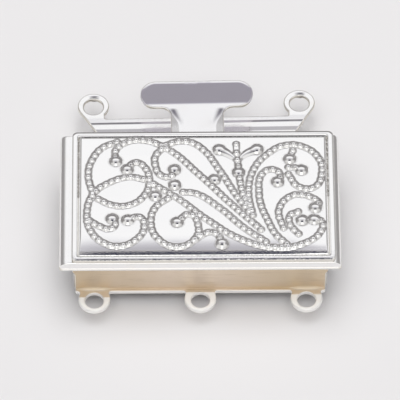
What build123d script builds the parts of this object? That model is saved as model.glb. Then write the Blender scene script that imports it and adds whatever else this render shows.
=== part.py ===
from build123d import *
from collections import namedtuple
from math import atan2, cos, radians, sin, tan
import os

# Millimetres. X runs along the case, Y towards the tongue and Z up.
# The origin is the centre of the case on the surface that it rests on.

# Case
case_w = 28.0  # over the rolled edges, left to right
case_d = 16.5  # over the rolled edges, front to back
case_top = 5.0  # top of the case's own top sheet
case_corner = 0.55
sheet = 0.4  # brass sheet of the case, the tongue and the latch leaf
edge_drop = 1.0  # height of the edge that is turned down round the top sheet
side_overhang = 1.4  # from a side wall out to the edge's outer face
seam = 0.05  # gap between separate pieces that are crimped together

# Mouth in the back wall, an inverted T
mouth_inset = 3.9  # from the edge's outer face to the mouth's side, left and right
mouth_top = 2.75
notch_side_gap = 0.35  # each side of the stem

# Cover
cover_border_left = 1.25
cover_border_right = 0.55
cover_border_ends = 0.16
cover_sheet = 0.25
cover_corner = 0.55
rim_w = 0.6
rim_rise = 0.27
groove = 0.1  # between the rim and the panel
pillow_rise = 0.45
pillow_edge_rise = 0.04
pillow_run_front = 2.0  # over which the panel's front edge slopes down
pillow_run = 0.6  # the same at its other edges
pocket_depth = 0.35  # hollow under the pillowed panel
relief_rise = 0.3
ridge_w = 0.62
bead_d = 1.2

# Front web, its foot lip and its rings
web_inset = 1.3  # from the edge's outer face to the web's end
strip_sheet = 0.5
lip_reach = 0.32
foot_radius = 0.25
ring_d = 3.15
front_hole_d = 1.86
front_ring_inset = 2.05  # from the web's end to the outer rings' centres
front_ring_reach = 0.88  # from the lip's edge to a ring's centre
front_hole_shift = 0.25  # the hole is punched towards the ring's outer end
neck_fillet = 0.25

# Tongue
tongue_yaw = 0.9  # degrees that the tongue lies askew in its mouth
mouth_side_gap = 0.4
floor_gap = 0.1  # under the sliding leaf
fold_r = 0.8  # outside radius of the fold
fold_to_web = 0.55
flare_start = 2.65  # from the case's back edge to where the strip starts to widen
flare_end = 5.22
flare_w = 1.6  # that each end of the strip widens by
step_places = (3.5, 3.8, 4.45, 4.6)  # start and end of each step up, from the case's back edge
step_rises = (0.15, 0.12)
tongue_ring_d = 3.2
tongue_hole_d = 1.95
tongue_ring_inset = 0.8  # from the strip's end to the outer rings' centres
tongue_ring_reach = 1.7  # from the strip's edge to a ring's centre
tongue_hole_shift = -0.15
tongue_neck_w = 2.3

# Latch leaf and thumb tab
latch_inset = 0.8  # each side, inside the lower leaf
fold_split = 0.05
catch_gap = 0.25  # from the back wall to the leaf's shoulders
latch_headroom = 0.2  # under the top sheet
stem_w = 5.45
stem_fillet = 1.0
pad_w = 11.4
pad_d = 3.12
pad_start = 3.88  # from the case's back edge
pad_lip = 0.45  # the level margin along the pad's near edge
pad_tilt = 8.0

touch = seam / 10  # near enough to be the same place, when picking edges and corners

# Worked out from the sizes above
half_w = case_w / 2
half_d = case_d / 2
ceiling = case_top - sheet
skirt_inner = half_d - sheet
web_face = skirt_inner - seam
wall_outer_x = half_w - side_overhang
wall_inner_x = wall_outer_x - sheet
back_inner = skirt_inner - sheet
web_back = web_face - strip_sheet
notch_w = stem_w + 2 * notch_side_gap
mouth_w = case_w - 2 * mouth_inset

web_w = case_w - 2 * web_inset

cover_w = case_w - cover_border_left - cover_border_right
cover_d = case_d - 2 * cover_border_ends
cover_x = (cover_border_left - cover_border_right) / 2
cover_z = case_top + seam
panel_w = cover_w - 2 * (rim_w + groove)
panel_d = cover_d - 2 * (rim_w + groove)
panel_z = cover_z + cover_sheet
pillow_w = panel_w - 2 * pillow_run
pillow_d = panel_d - pillow_run - pillow_run_front
pillow_y = (pillow_run_front - pillow_run) / 2

leaf_z = sheet + floor_gap
leaf_w = mouth_w - 2 * mouth_side_gap
fold_y = fold_to_web + fold_r - web_back
fold_z = leaf_z + fold_r
ring_plane_z = leaf_z + sum(step_rises)
strip_half = leaf_w / 2 + flare_w
strip_edge = half_d + flare_end
tongue_ring_x = strip_half - tongue_ring_inset
tongue_ring_y = strip_edge + tongue_ring_reach

latch_w = leaf_w - 2 * latch_inset
catch_y = back_inner - catch_gap
latch_top = ceiling - latch_headroom
stem_end = half_d + pad_start

lip_edge = web_face + lip_reach
front_ring_x = web_w / 2 - front_ring_inset
front_ring_y = -lip_edge - front_ring_reach

# The tongue and its latch leaf are drawn about their own centre line, which is turned by the yaw.
tongue_x = Vector(cos(radians(tongue_yaw)), sin(radians(tongue_yaw)), 0)
tongue_y = Vector(-sin(radians(tongue_yaw)), cos(radians(tongue_yaw)), 0)
tongue_plan = Plane(origin=(0, 0, 0), x_dir=tongue_x, z_dir=(0, 0, 1))
tongue_side = Plane(origin=(0, 0, 0), x_dir=tongue_y, z_dir=tongue_x)

# Scroll ornament. Knots run from a strand's free end to its root, as (share of the panel's width
# from the left, share of its depth from the front). A bead, where there is one, ends the strand.
Strand = namedtuple("Strand", "name bead knots")
strands = [
    Strand("far left arch", None, [(.153, .95), (.093, .90), (.053, .80), (.037, .68), (.055, .51)]),
    Strand("long diagonal", (.148, .785),
           [(.148, .88), (.195, .95), (.252, .965), (.351, .895), (.483, .67), (.60, .44), (.73, .20)]),
    Strand("upper left leaf", (.194, .715),
           [(.227, .775), (.266, .73), (.283, .61), (.26, .485), (.20, .41), (.13, .415), (.077, .465)]),
    Strand("lower left sweep", (.196, .285),
           [(.243, .31), (.262, .22), (.225, .115), (.165, .07), (.105, .092), (.05, .19),
            (.033, .36), (.061, .515), (.12, .60), (.206, .65), (.26, .63)]),
    Strand("lower left hook", (.134, .295), [(.146, .247), (.126, .212), (.085, .232), (.041, .285)]),
    Strand("second diagonal", None,
           [(.351, .92), (.394, .95), (.442, .95), (.491, .90), (.568, .70), (.633, .49), (.698, .32)]),
    Strand("upper hook", (.385, .71), [(.369, .655), (.329, .665), (.308, .745), (.308, .828), (.333, .887)]),
    Strand("low diagonal", (.943, .28),
           [(.972, .265), (.965, .17), (.905, .085), (.783, .055), (.649, .12), (.515, .285),
            (.402, .46), (.30, .59)]),
    Strand("middle diagonal", None, [(.418, .52), (.467, .508), (.568, .38), (.657, .223), (.749, .098)]),
    Strand("middle curl", (.394, .265),
           [(.445, .332), (.479, .23), (.463, .12), (.393, .062), (.316, .13), (.289, .272),
            (.308, .392), (.359, .468)]),
    Strand("curl's tail", (.573, .084), [(.558, .153), (.531, .18), (.499, .162), (.467, .12)]),
    Strand("bloom's left petal", (.566, .88), [(.609, .83), (.637, .79)]),
    Strand("bloom's right petal", (.719, .88), [(.673, .838), (.641, .79)]),
    Strand("bloom's tip", (.635, .915), [(.635, .875), (.637, .79)]),
    Strand("bloom's neck", None, [(.639, .79), (.642, .74), (.643, .683)]),
    Strand("bloom's stem", (.643, .683), [(.657, .525), (.673, .42)]),
    Strand("upper right arch", None,
           [(.844, .665), (.885, .56), (.947, .555), (.978, .67), (.968, .80), (.905, .902),
            (.832, .915), (.76, .84), (.706, .718), (.682, .525), (.698, .32)]),
    Strand("upper right drop", (.897, .702), [(.87, .722), (.844, .725)]),
    Strand("upper right pendant", (.85, .797), [(.858, .84), (.864, .87)]),
    Strand("inner right arch", (.80, .602),
           [(.811, .665), (.782, .708), (.749, .692), (.728, .632), (.724, .525), (.73, .418),
            (.757, .28), (.79, .156), (.832, .078)]),
    Strand("lower right arch", (.949, .38),
           [(.964, .415), (.937, .466), (.897, .492), (.856, .485), (.803, .366), (.82, .212)]),
    Strand("lower right inner curl", None,
           [(.88, .348), (.848, .318), (.844, .254), (.86, .202), (.88, .16)]),
]
loose_beads = [(.385, .58), (.307, .488), (.546, .625), (.895, .275)]


def on_panel(share):
    return (cover_x + (share[0] - 0.5) * panel_w, (share[1] - 0.5) * panel_d)


with BuildPart() as cover_plate:
    with BuildSketch(Plane.XY.offset(cover_z)):
        with Locations((cover_x, 0)):
            RectangleRounded(cover_w, cover_d, cover_corner)
    extrude(amount=cover_sheet)
    # Raised rim, rounded along its top
    with BuildSketch(Plane.XY.offset(panel_z)):
        with Locations((cover_x, 0)):
            RectangleRounded(cover_w, cover_d, cover_corner)
            Rectangle(cover_w - 2 * rim_w, cover_d - 2 * rim_w, mode=Mode.SUBTRACT)
    extrude(amount=rim_rise)
    fillet(edges().group_by(Axis.Z)[-1], min(rim_w, rim_rise) * 0.45)
    # Pillowed panel, hollow underneath
    with BuildSketch(Plane.XY.offset(panel_z)):
        with Locations((cover_x, 0)):
            Rectangle(panel_w, panel_d)
    extrude(amount=pillow_edge_rise)
    with BuildSketch(Plane.XY.offset(panel_z + pillow_edge_rise)) as pillow_foot:
        with Locations((cover_x, 0)):
            Rectangle(panel_w, panel_d)
    with BuildSketch(Plane.XY.offset(panel_z + pillow_rise)) as pillow_top:
        with Locations((cover_x, pillow_y)):
            Rectangle(pillow_w, pillow_d)
    loft(sections=[pillow_foot.sketch.face(), pillow_top.sketch.face()])
    with BuildSketch(Plane.XY.offset(cover_z)):
        with Locations((cover_x, pillow_y)):
            Rectangle(pillow_w, pillow_d)
    extrude(amount=pocket_depth, mode=Mode.SUBTRACT)
    # Scrolls and beads
    with BuildSketch(Plane.XY.offset(panel_z)):
        for strand in strands:
            with BuildLine():
                Spline([on_panel(knot) for knot in strand.knots])
            trace(line_width=ridge_w)
            with Locations(on_panel(strand.knots[0]), on_panel(strand.knots[-1])):
                Circle(ridge_w / 2)
    extrude(amount=pillow_rise + relief_rise)
    with BuildSketch(Plane.XY.offset(panel_z)):
        with Locations(*[on_panel(s.bead) for s in strands if s.bead], *map(on_panel, loose_beads)):
            Circle(bead_d / 2)
    extrude(amount=pillow_rise + relief_rise * 1.2)

with BuildPart() as case_shell:
    with BuildSketch(Plane.XY.offset(case_top - edge_drop)):
        RectangleRounded(case_w, case_d, case_corner)
    extrude(amount=edge_drop)
    outer_edges = edges().filter_by(lambda e: e.bounding_box().size.Z < touch)
    fillet(outer_edges, min(case_corner, sheet, edge_drop / 2) * 0.9)
    # Under the top sheet, inside the turned-down edge
    with BuildSketch(Plane.XY.offset(case_top - edge_drop)):
        Rectangle(case_w - 2 * sheet, case_d - 2 * sheet)
    extrude(amount=edge_drop - sheet, mode=Mode.SUBTRACT)
    # Side walls and back wall, open towards the front
    with BuildSketch():
        Rectangle(2 * wall_outer_x, 2 * skirt_inner)
        with Locations((0, -skirt_inner)):
            Rectangle(2 * wall_inner_x, 2 * (skirt_inner + back_inner), mode=Mode.SUBTRACT)
        with Locations((0, -skirt_inner)):
            Rectangle(case_w, 2 * (skirt_inner - web_back + seam), mode=Mode.SUBTRACT)
    extrude(amount=ceiling)
    # Mouth
    with BuildSketch(Plane.XZ):
        with Locations((0, mouth_top / 2)):
            Rectangle(mouth_w, mouth_top)
        with Locations((0, ceiling / 2)):
            Rectangle(notch_w, ceiling)
    extrude(amount=-half_d, mode=Mode.SUBTRACT)

with BuildPart() as back_plate:
    front = -web_back + seam
    back = back_inner - seam
    with BuildSketch():
        with Locations((0, (front + back) / 2)):
            Rectangle(2 * (wall_inner_x - seam), back - front)
    extrude(amount=sheet)

with BuildPart() as end_strip:
    with BuildSketch():
        with Locations((0, -(web_face + web_back) / 2)):
            Rectangle(web_w, web_face - web_back)
    extrude(amount=ceiling - seam)
    with BuildSketch():
        with Locations((0, -(lip_edge + web_back) / 2)):
            Rectangle(web_w, lip_edge - web_back)
        with Locations(*[(i * front_ring_x, front_ring_y) for i in (-1, 0, 1)]):
            Circle(ring_d / 2)
        # The rings' discs end at the web's back
        with Locations((0, -web_back)):
            Rectangle(case_w, ring_d, align=(Align.CENTER, Align.MIN), mode=Mode.SUBTRACT)
        on_lip_edge = vertices().filter_by(lambda v: abs(v.Y + lip_edge) < touch)
        fillet(on_lip_edge.filter_by(lambda v: abs(v.X) < web_w / 2 - touch), neck_fillet)
    extrude(amount=strip_sheet)
    at_foot = edges().filter_by(Axis.X).filter_by_position(Axis.Z, strip_sheet - touch, strip_sheet + touch)
    fillet(at_foot.group_by(Axis.Y)[-1], min(foot_radius, lip_reach * 0.8))
    with BuildSketch():
        with Locations(*[(i * front_ring_x, front_ring_y - front_hole_shift) for i in (-1, 0, 1)]):
            Circle(front_hole_d / 2)
    extrude(amount=strip_sheet, mode=Mode.SUBTRACT)

with BuildPart() as tongue:
    # Section along the tongue: the fold, the level leaf, two small steps up and the ring plane
    rise_1, rise_2 = step_rises
    steps = [half_d + place for place in step_places]
    reach = tongue_ring_y + tongue_ring_d
    heights = [leaf_z, leaf_z, leaf_z + rise_1, leaf_z + rise_1, ring_plane_z, ring_plane_z]
    under = list(zip([fold_y] + steps + [reach], heights))
    with BuildSketch(tongue_side):
        with BuildLine():
            Polyline(*under, *[(y, z + sheet) for y, z in reversed(under)], close=True)
        make_face()
    extrude(amount=case_w, both=True)
    with BuildSketch(tongue_plan):
        with Locations((0, (fold_y + half_d + flare_start) / 2)):
            Rectangle(leaf_w, half_d + flare_start - fold_y)
        with BuildLine():
            flare = [(leaf_w / 2, half_d + flare_start), (strip_half, strip_edge)]
            Polyline(*flare, *[(-x, y) for x, y in reversed(flare)], close=True)
        make_face()
        # Each ring stands on a neck; the outer necks carry the flare on to the ring
        neck_side = tongue_ring_x - tongue_neck_w / 2
        turn = atan2(flare_end - flare_start, flare_w)
        meet_x = tongue_ring_x + tongue_ring_d / 2 * sin(turn)
        meet_y = tongue_ring_y - tongue_ring_d / 2 * cos(turn)
        neck = [(neck_side, strip_edge - sheet), (strip_half, strip_edge), (meet_x, meet_y), (neck_side, tongue_ring_y)]
        for side in (-1, 1):
            with BuildLine():
                Polyline(*[(side * x, y) for x, y in neck], close=True)
            make_face()
        with Locations((0, (strip_edge - sheet + tongue_ring_y) / 2)):
            Rectangle(tongue_neck_w, tongue_ring_y - strip_edge + sheet)
        with Locations(*[(i * tongue_ring_x, tongue_ring_y) for i in (-1, 0, 1)]):
            Circle(tongue_ring_d / 2)
        with Locations(*[(i * tongue_ring_x, tongue_ring_y + tongue_hole_shift) for i in (-1, 0, 1)]):
            Circle(tongue_hole_d / 2, mode=Mode.SUBTRACT)
    extrude(amount=case_top, mode=Mode.INTERSECT)
    # Half-round fold
    with BuildSketch(tongue_side):
        with Locations((fold_y, fold_z)):
            Circle(fold_r)
            Circle(fold_r - sheet, mode=Mode.SUBTRACT)
        with Locations((fold_y + fold_r, fold_z)):
            Rectangle(2 * fold_r, 2 * fold_r, mode=Mode.SUBTRACT)
    extrude(amount=leaf_w / 2, both=True)

with BuildPart() as latch_leaf:
    # Section along the leaf: rising spring, level stem and tilted pad
    start = fold_y + fold_split
    fold_top = fold_z + fold_r
    pad_far = stem_end + pad_d
    bend = stem_end + pad_lip
    pad_up = (pad_far + pad_d - bend) * tan(radians(pad_tilt))
    over = [
        (start, fold_top),
        (catch_y, latch_top),
        (bend, latch_top),
        (pad_far + pad_d, latch_top + pad_up),
    ]
    with BuildSketch(tongue_side):
        with BuildLine():
            Polyline(*over, *[(y, z - sheet) for y, z in reversed(over)], close=True)
        make_face()
    extrude(amount=case_w, both=True)
    with BuildSketch(tongue_plan):
        with Locations((0, (start + catch_y) / 2)):
            Rectangle(latch_w, catch_y - start)
        pad_middle = stem_end + pad_d / 2
        with Locations((0, (catch_y + pad_middle) / 2)):
            Rectangle(stem_w, pad_middle - catch_y)
        with Locations((0, pad_middle)):
            SlotOverall(pad_w, pad_d)
        beside_stem = vertices().filter_by(lambda v: abs(abs(v.X) - stem_w / 2) < touch)
        fillet(beside_stem.filter_by(lambda v: abs(v.Y - stem_end) < touch), stem_fillet)
    extrude(amount=2 * case_top, mode=Mode.INTERSECT)

pieces = {
    "cover_plate": cover_plate,
    "case_shell": case_shell,
    "back_plate": back_plate,
    "end_strip": end_strip,
    "tongue": tongue,
    "latch_leaf": latch_leaf,
}
os.makedirs("parts", exist_ok=True)
for label, piece in pieces.items():
    piece.part.label = label
    export_step(piece.part, f"parts/{label}.step")
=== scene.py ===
from math import asin, atan2, ceil, cos, hypot, pi, radians, sin, sqrt, tan

import bpy
import numpy as np
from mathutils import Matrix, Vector
from mathutils.geometry import delaunay_2d_cdt
from mathutils.kdtree import KDTree


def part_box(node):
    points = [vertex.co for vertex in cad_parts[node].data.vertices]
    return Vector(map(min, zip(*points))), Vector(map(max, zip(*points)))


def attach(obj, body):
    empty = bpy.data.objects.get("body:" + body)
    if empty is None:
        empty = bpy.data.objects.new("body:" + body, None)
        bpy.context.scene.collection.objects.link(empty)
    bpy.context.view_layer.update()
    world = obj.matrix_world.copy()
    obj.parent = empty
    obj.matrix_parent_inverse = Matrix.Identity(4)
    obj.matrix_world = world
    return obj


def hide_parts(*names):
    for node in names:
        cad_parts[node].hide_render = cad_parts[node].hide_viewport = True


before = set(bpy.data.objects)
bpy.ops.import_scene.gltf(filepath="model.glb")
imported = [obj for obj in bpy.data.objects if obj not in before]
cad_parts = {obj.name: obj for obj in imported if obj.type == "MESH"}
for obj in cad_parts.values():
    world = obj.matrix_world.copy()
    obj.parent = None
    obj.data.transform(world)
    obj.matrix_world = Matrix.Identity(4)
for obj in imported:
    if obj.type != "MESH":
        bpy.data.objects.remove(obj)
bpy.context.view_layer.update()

# Shapes are worked out in millimetres and turned into metres when a mesh is made.
mm = 0.001
print("frame loaded")


# Node trees

class Value:
    # an output socket that can be used in sums
    def __init__(self, tree, socket):
        self.tree, self.socket = tree, socket

    def other(self, name):
        return Value(self.tree, self.socket.node.outputs[name])

    def __add__(self, b):
        return self.tree.maths("ADD", self, b)

    __radd__ = __add__

    def __sub__(self, b):
        return self.tree.maths("SUBTRACT", self, b)

    def __rsub__(self, b):
        return self.tree.maths("SUBTRACT", b, self)

    def __mul__(self, b):
        return self.tree.maths("MULTIPLY", self, b)

    __rmul__ = __mul__

    def __truediv__(self, b):
        return self.tree.maths("DIVIDE", self, b)

    def __rtruediv__(self, b):
        return self.tree.maths("DIVIDE", b, self)

    def __pow__(self, b):
        return self.tree.maths("POWER", self, b)

    def atLeast(self, b):
        return self.tree.maths("MAXIMUM", self, b)

    def atMost(self, b):
        return self.tree.maths("MINIMUM", self, b)

    def between(self, low, high):
        # 0 below low, 1 above high, eased in between
        return self.tree.add("ShaderNodeMapRange", {"interpolation_type": "SMOOTHSTEP"},
                             {"Value": self, "From Min": low, "From Max": high})


class Tree:
    def __init__(self, tree):
        self.tree = tree
        tree.nodes.clear()

    def add(self, kind, settings=None, inputs=None, output=0):
        node = self.tree.nodes.new(kind)
        for name, value in (settings or {}).items():
            setattr(node, name, value)
        for name, value in (inputs or {}).items():
            if isinstance(value, Value):
                self.tree.links.new(value.socket, node.inputs[name])
            else:
                node.inputs[name].default_value = value
        return Value(self, node.outputs[output]) if node.outputs else node

    def maths(self, operation, *parts):
        return self.add("ShaderNodeMath", {"operation": operation}, dict(enumerate(parts)))

    def mixColour(self, share, a, b):
        colours = {key: c if isinstance(c, Value) else (*c, 1) for key, c in ((6, a), (7, b))}
        return self.add("ShaderNodeMix", {"data_type": "RGBA"}, {0: share, **colours}, 2)

    def stored(self, name):
        # a value that the mesh keeps for each of its points
        return self.add("ShaderNodeAttribute", {"attribute_name": name}, output="Fac")

    def split(self, vector):
        # gives X, and Y and Z through other()
        return self.add("ShaderNodeSeparateXYZ", {}, {0: vector})


# Metals

silverLook = {"colour": (0.945, 0.94, 0.935), "warm": (0.96, 0.90, 0.78), "cut": (0.56, 0.52, 0.45),
              "ring": (0.98, 0.97, 0.95)}


def startMaterial(name):
    material = bpy.data.materials.new(name)
    material.use_nodes = True
    tree = Tree(material.node_tree)
    place = tree.add("ShaderNodeTexCoord", output="Object")
    tree.inMm = tree.add("ShaderNodeVectorMath", {"operation": "SCALE"}, {0: place, "Scale": 1 / mm})
    return material, tree


def noise(tree, scale, detail=2.0, stretch=(1, 1, 1), shift=0.0):
    turned = tree.add("ShaderNodeMapping", {},
                      {"Vector": tree.inMm, "Scale": stretch, "Location": (shift, shift, 0)})
    return tree.add("ShaderNodeTexNoise", {}, {"Vector": turned, "Scale": scale, "Detail": detail}, "Fac")


def finishMaterial(tree, colour, rough, height, metallic=1.0):
    normal = tree.add("ShaderNodeBump", {}, {"Strength": 1.0, "Distance": mm, "Height": height})
    shader = tree.add("ShaderNodeBsdfPrincipled", {}, {
        "Base Color": colour, "Metallic": metallic, "Roughness": rough, "Normal": normal})
    tree.add("ShaderNodeOutputMaterial", {}, {"Surface": shader})


def platedMaterial(name, look):
    # bright silver plate, warmer where an edge is cut, with rolling marks and fine scratches
    material, tree = startMaterial(name)
    edge = tree.stored("edge")
    clouds = noise(tree, 0.45, 3.0)
    marks = noise(tree, look["markScale"], 2.0, look["markStretch"])
    scratches = noise(tree, 9.0, 2.0, (0.06, 1.6, 1.0), 3.0).between(0.66, 0.74)
    mottle = noise(tree, 6.0, 3.0, shift=2.0)
    warmth = (edge * look["edgeWarmth"] + clouds.between(0.5, 0.75) * look["cloudWarmth"]).atMost(1.0)
    colour = tree.mixColour(warmth, look["colour"], silverLook["warm"])
    colour = tree.mixColour(edge.between(0.55, 1.0) * look["cut"], colour, silverLook["cut"])
    rough = clouds * look["roughSpread"] + look["rough"] + scratches * 0.06 + edge * 0.12
    height = clouds * look["wave"] + marks * look["markDepth"] - scratches * look["scratchDepth"]
    for mark in look.get("marks", ()):  # painted shade: the tab is coloured darker for its dull reflection, and the stem is darkened beside its folded sides
        colour = tree.mixColour(tree.stored(mark), colour, look["marks"][mark])
    finishMaterial(tree, colour, rough, height + mottle * look["mottleDepth"])
    return material


def coverMaterial(name, look):
    # polished plate, with painted shade in the foot of the relief and along the panel's back groove
    material, tree = startMaterial(name)
    edge = tree.stored("edge")
    clouds = noise(tree, 0.3, 3.0, shift=5.0)
    # painted shade, darker and rougher, in the foot of the relief and along the back groove
    paintedShade = tree.stored("foot") * noise(tree, 2.6, 3.0).between(0.3, 0.6)
    paintedShade = paintedShade.atLeast(tree.stored("hollow") * noise(tree, 5.0, 3.0).between(0.3, 0.6) * 1.5)
    colour = tree.mixColour(edge * look["edgeWarmth"], silverLook["colour"], silverLook["warm"])
    colour = tree.mixColour(paintedShade * look["paintedShade"], colour, look["paintedShadeColour"])
    colour = tree.mixColour(edge.between(0.5, 1.0) * look["cut"], colour, silverLook["cut"])
    rough = look["rough"] + clouds * look["roughSpread"] + paintedShade * 0.18
    margin = 1 - tree.split(tree.inMm).other("Y").between(-7.1, -6.7)  # polishing leaves it grainy
    grain = noise(tree, 8.0, 3.0) * (margin * look["frontGrain"] + 1) * look["grainDepth"]
    finishMaterial(tree, colour, rough, clouds * look["wave"] + grain)
    return material


def stripMaterial(name, look):
    # thin plate over brass: tan and satin on the web and the necks, silver on the rings and the cut edges
    material, tree = startMaterial(name)
    edge = tree.stored("edge")
    clouds = noise(tree, 0.22, 3.0, (1, 0.4, 0.6))
    streaks = noise(tree, 1.5, 3.0, (0.35, 1, 2.2))
    upright = noise(tree, 1.1, 3.0, (1.5, 1, 0.2), 8.0)
    middle = 1 - tree.maths("ABSOLUTE", tree.split(tree.inMm) + 1.5).between(2.0, 10.0)
    pale = middle * 0.75 + clouds.between(0.35, 0.65) * 0.25
    tan = tree.mixColour(pale, look["tan"], look["paleTan"])
    tan = tree.mixColour(streaks.between(0.5, 0.8) * 0.25, tan, look["deepTan"])
    # painted shade from the neck mark
    tan = tree.mixColour(tree.stored("neck"), tan, look["deepTan"])
    bare = tree.stored("warm") * (1 - edge.between(0.5, 0.9))
    colour = tree.mixColour(bare, silverLook["ring"], tan)
    rough = look["rough"] + bare * look["satin"] + (1 - bare) * look["ringRough"] + clouds * 0.05
    height = bare * (streaks * 0.6 + upright * 0.8) * look["grainDepth"] + clouds * look["wave"]
    finishMaterial(tree, colour, rough, height, 1 - (1 - bare) * (1 - edge * 0.7) * look["matte"])
    return material


brightPlate = platedMaterial("brightPlate", {
    "colour": silverLook["colour"], "cut": 0.75,
    "rough": 0.10, "roughSpread": 0.10, "edgeWarmth": 0.5, "cloudWarmth": 0.15, "wave": 0.006,
    "markScale": 5.0, "markStretch": (0.08, 1.0, 1.0), "markDepth": 0.0008, "scratchDepth": 0.0008,
    "mottleDepth": 0.003})
brushedPlate = platedMaterial("brushedPlate", {
    # painted shade: the tab's darker colour and the stem's shade
    "colour": (0.95, 0.945, 0.95), "marks": {"tab": (0.65, 0.63, 0.685), "shade": (0.20, 0.19, 0.22)},
    "cut": 0.5, "rough": 0.17, "roughSpread": 0.08, "edgeWarmth": 0.6, "cloudWarmth": 0.06, "wave": 0.002,
    "markScale": 7.0, "markStretch": (1.0, 0.25, 1.0), "markDepth": 0.0012, "scratchDepth": 0.0008,
    "mottleDepth": 0.0008})
polishedPlate = coverMaterial("polishedPlate", {
    "rough": 0.06, "roughSpread": 0.05, "edgeWarmth": 0.4, "cut": 0.8, "wave": 0.010, "grainDepth": 0.0015,
    # the painted shade's strength and colour for the relief's foot and the back groove
    "paintedShade": 0.55, "paintedShadeColour": (0.36, 0.34, 0.32), "frontGrain": 11.0})
warmStrip = stripMaterial("warmStrip", {
    "rough": 0.20, "satin": 0.22, "ringRough": 0.28, "matte": 0.85, "wave": 0.002, "grainDepth": 0.004,
    "tan": (0.70, 0.578, 0.42), "paleTan": (0.83, 0.715, 0.595), "deepTan": (0.52, 0.41, 0.27)})
print("metals made")


# Meshes

def unit(v):
    return v / np.linalg.norm(v, axis=-1, keepdims=True)


def places(*runs):
    return np.unique(np.round(np.concatenate(runs), 4))


def addObject(name, data):
    thing = bpy.data.objects.new(name, data)
    bpy.context.scene.collection.objects.link(thing)
    return thing


def newPiece(name, points, faces, material, normals=None, attributes=None):
    mesh = bpy.data.meshes.new(name)
    mesh.from_pydata((np.asarray(points) * mm).tolist(), [], faces)
    mesh.polygons.foreach_set("use_smooth", [True] * len(mesh.polygons))
    for key, values in (attributes or {}).items():
        mesh.attributes.new(key, "FLOAT", "POINT").data.foreach_set("value", np.asarray(values, np.float32))
    mesh.materials.append(material)
    if normals is not None:
        mesh.normals_split_custom_set_from_vertices(unit(normals).tolist())
    mesh.update()
    return addObject(name, mesh)


def arc(centre, radius, start, end, step=0.1):
    count = ceil(max(abs(end - start) * radius / step, abs(end - start) / 0.3))
    return [(centre[0] + radius * cos(a), centre[1] + radius * sin(a))
            for a in np.linspace(start, end, count + 1)]


def filleted(corners):
    # corners are (x, y, radius) in order round an outline
    points = []
    for i, (x, y, radius) in enumerate(corners):
        here, last, after = (np.array(corners[k % len(corners)][:2], float) for k in (i, i - 1, i + 1))
        if not radius:
            points.append((x, y))
            continue
        back, on = unit(last - here), unit(after - here)
        half = np.arccos(np.clip(back @ on, -1, 1)) / 2
        centre = here + unit(back + on) * radius / sin(half)
        first, final = here + back * radius / tan(half) - centre, here + on * radius / tan(half) - centre
        start = atan2(first[1], first[0])
        turn = (atan2(final[1], final[0]) - start + pi) % (2 * pi) - pi
        points += arc(centre, radius, start, start + turn)
    return points


def ringLobe(centre, radius, line, neck):
    # round a ring in front of a straight edge at y = line, from left to right, with fillets of radius neck
    off = abs(centre[1] - line) - neck
    across = sqrt((radius + neck) ** 2 - off ** 2)
    low = asin(off / (radius + neck))
    return (arc((centre[0] - across, line - neck), neck, pi / 2, -low, 0.05)
            + arc(centre, radius, pi - low, 2 * pi + low)
            + arc((centre[0] + across, line - neck), neck, pi + low, pi / 2, 0.05))


def ringHoles(spots, diameter):
    return [arc(spot, diameter / 2, 0, 2 * pi, 0.12)[:-1] for spot in spots]


def splitLoop(points, rows, spacing):
    # adds a point wherever the outline crosses a row, and on long runs
    loop = []
    for (x0, s0), (x1, s1) in zip(points, points[1:] + points[:1]):
        length = hypot(x1 - x0, s1 - s0)
        if length < 1e-4:
            continue
        cuts = {round(k / ceil(length / spacing), 5) for k in range(ceil(length / spacing))}
        if abs(s1 - s0) > 1e-6:
            cuts |= {round((r - s0) / (s1 - s0), 5) for r in rows if 0 < (r - s0) / (s1 - s0) < 1}
        last = -1.0
        for cut in sorted(cuts):
            if (cut - last) * length > 0.03 and (1 - cut) * length > 0.03 or cut == 0:
                loop.append((x0 + (x1 - x0) * cut, s0 + (s1 - s0) * cut))
                last = cut
    return np.array(loop)


def inside(points, loops):
    # even-odd test of many points against all the loops
    x, y = points[:, 0], points[:, 1]
    odd = np.zeros(len(points), bool)
    for loop in loops:
        x0, y0 = loop[:, 0], loop[:, 1]
        x1, y1 = np.roll(x0, -1), np.roll(y0, -1)
        for a, b, c, d in zip(x0, y0, x1, y1):
            if b != d:
                odd ^= ((b > y) != (d > y)) & (x < (c - a) * (y - b) / (d - b) + a)
    return odd


def sweptFaces(count, levels, first=0):
    # quads between neighbouring rings of count points each
    return [(a + i, a + count + i, a + count + (i + 1) % count, a + (i + 1) % count)
            for a in range(first, first + (levels - 1) * count, count) for i in range(count)]


def onFace(face, x, s):
    # place, normal and the two unit directions of a bent face
    nudge = 0.002
    dx = unit(face(x + nudge, s) - face(x - nudge, s))
    ds = unit(face(x, s + nudge) - face(x, s - nudge))
    return face(x, s), unit(np.cross(dx, ds)), dx, ds


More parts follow.
